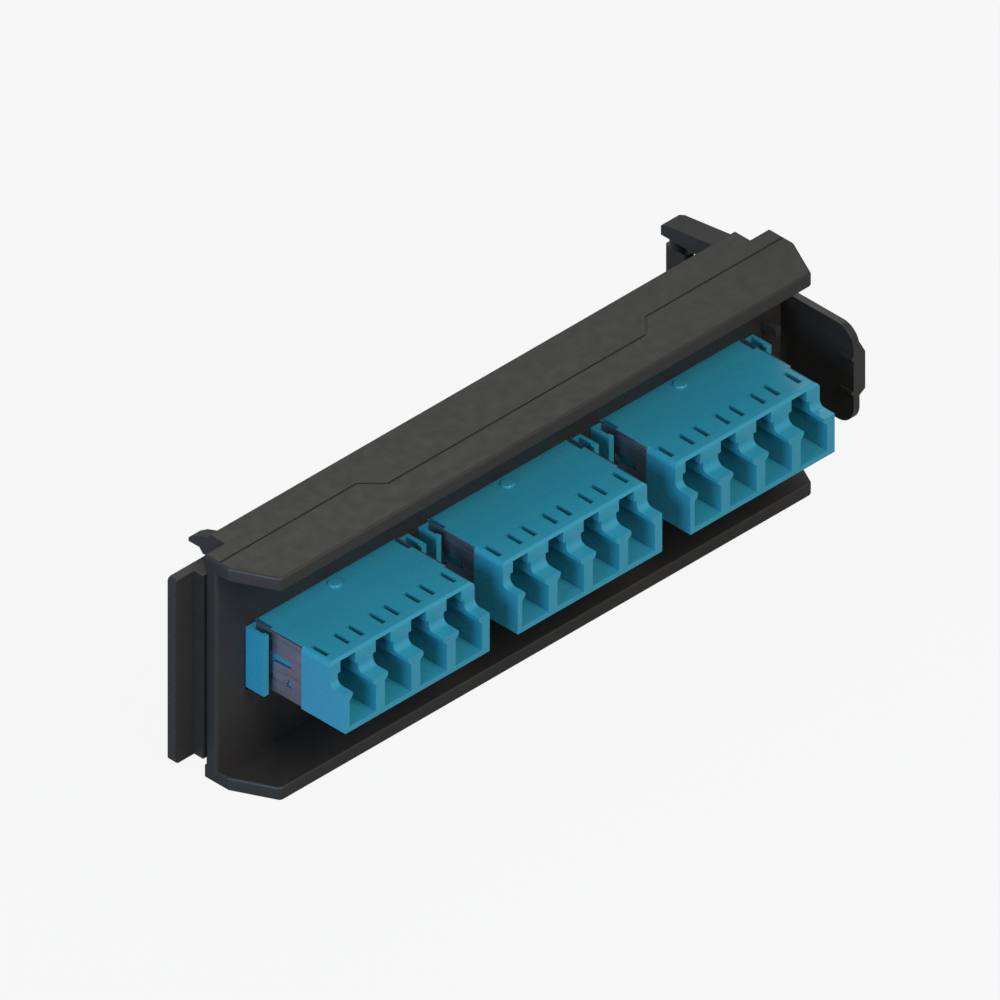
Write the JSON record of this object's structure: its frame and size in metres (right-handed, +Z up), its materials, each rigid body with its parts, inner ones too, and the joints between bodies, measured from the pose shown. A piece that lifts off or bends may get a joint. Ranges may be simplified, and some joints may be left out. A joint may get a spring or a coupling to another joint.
{
  "type": "fibre adapter plate",
  "caption": "Snap-in adapter plate with quad LC fibre adapters between two lips, a hook tab at the left end and a release latch at the right end.",
  "frame": {"origin": "underside of the lower lip, at the middle of the plate's length, in the plane of the wall's back", "axes": "+X along the plate towards the latch, +Y from the wall towards the rear ports, +Z up"},
  "size_m": [0.107, 0.0305, 0.0341],
  "materials": {
    "plate_plastic": "fine satin texture, very dark warm grey",
    "adapter_plastic": "satin moulded aqua",
    "clip_steel": "bare rolled strip",
    "sleeve_ceramic": "polished white ceramic"
  },
  "bodies": {
    "frame": {"plate": "plate_plastic", "left_front_housing": "adapter_plastic", "left_rear_housing": "adapter_plastic", "left_front_holder": "adapter_plastic", "left_rear_holder": "adapter_plastic", "left_split_sleeve_1": "sleeve_ceramic", "left_split_sleeve_2": "sleeve_ceramic", "left_split_sleeve_3": "sleeve_ceramic", "left_split_sleeve_4": "sleeve_ceramic", "left_clip_left": "clip_steel", "left_clip_right": "clip_steel", "middle_front_housing": "adapter_plastic", "middle_rear_housing": "adapter_plastic", "middle_front_holder": "adapter_plastic", "middle_rear_holder": "adapter_plastic", "middle_split_sleeve_1": "sleeve_ceramic", "middle_split_sleeve_2": "sleeve_ceramic", "middle_split_sleeve_3": "sleeve_ceramic", "middle_split_sleeve_4": "sleeve_ceramic", "middle_clip_left": "clip_steel", "middle_clip_right": "clip_steel", "right_front_housing": "adapter_plastic", "right_rear_housing": "adapter_plastic", "right_front_holder": "adapter_plastic", "right_rear_holder": "adapter_plastic", "right_split_sleeve_1": "sleeve_ceramic", "right_split_sleeve_2": "sleeve_ceramic", "right_split_sleeve_3": "sleeve_ceramic", "right_split_sleeve_4": "sleeve_ceramic", "right_clip_left": "clip_steel", "right_clip_right": "clip_steel"},
    "latch": {"release_latch": "plate_plastic"}
  },
  "joints": [
    {"name": "latch_release", "type": "hinge", "parent": "frame", "child": "latch", "pos_m": [0.04442, 0.0107, 0.01705], "axis": [0, 0, -1], "range_deg": [0, 5], "stiffness_Nm_per_rad": 0.15, "springref_deg": -1.15}
  ]
}
